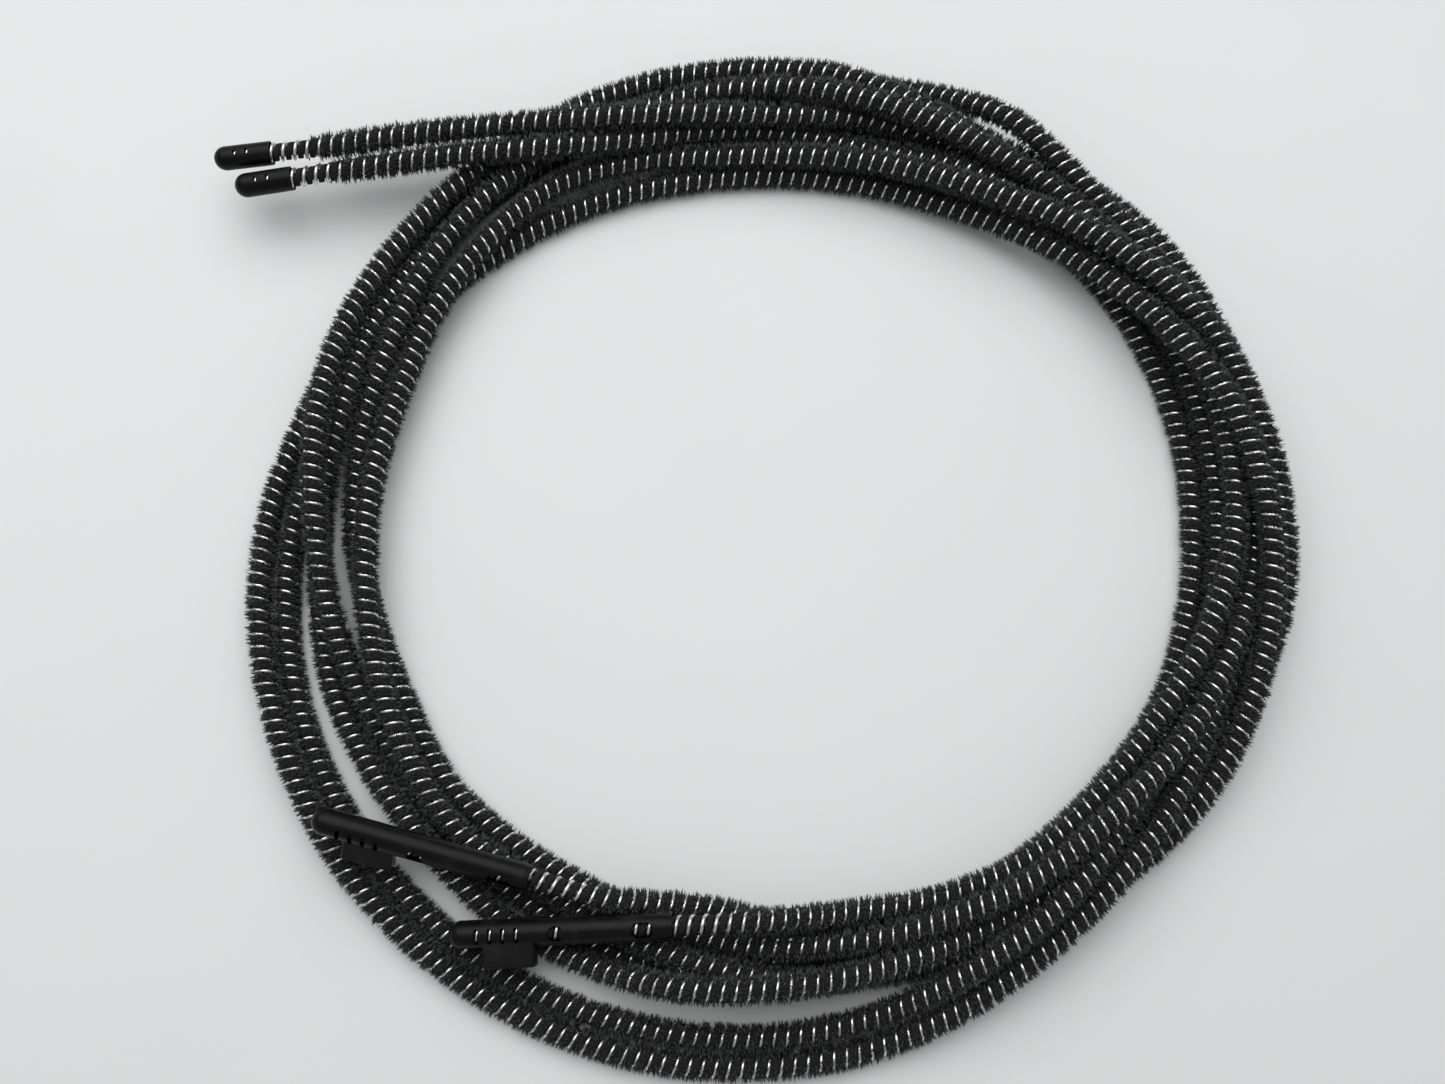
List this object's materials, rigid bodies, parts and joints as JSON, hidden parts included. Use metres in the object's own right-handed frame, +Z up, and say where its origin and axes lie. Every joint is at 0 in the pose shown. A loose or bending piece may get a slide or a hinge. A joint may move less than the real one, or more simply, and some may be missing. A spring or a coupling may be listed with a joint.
{
  "type": "sliding roof drive cables",
  "caption": "Pair of flexible flocked rack drive cables, coiled together, each with a moulded driver sleeve and lug at one end and a bullet-shaped cap at the other.",
  "frame": {"origin": "on the resting surface, under the middle of the object's bounding box", "axes": "+Z up out of the coil's plane; +Y away from the driver sleeves, towards the far side of the coil; +X to the right, seen from above with the driver sleeves at the near left"},
  "size_m": [0.2352, 0.2236, 0.0193],
  "materials": {
    "black_moulding": "smooth moulded black plastic, semi-gloss",
    "bright_steel": "drawn spring-steel wire, bright and lightly oiled",
    "charcoal_pile": "short charcoal pile yarn, matt"
  },
  "bodies": {
    "root": {"left_driver_sleeve": "black_moulding", "left_end_cap": "black_moulding", "left_core_strand": "bright_steel", "left_rack_wire_driver_end": "bright_steel", "left_rack_wire_cap_end": "bright_steel", "left_pile_winding": "charcoal_pile", "right_driver_sleeve": "black_moulding", "right_end_cap": "black_moulding", "right_core_strand": "bright_steel", "right_rack_wire_driver_end": "bright_steel", "right_rack_wire_cap_end": "bright_steel", "right_pile_winding": "charcoal_pile"}
  },
  "joints": []
}
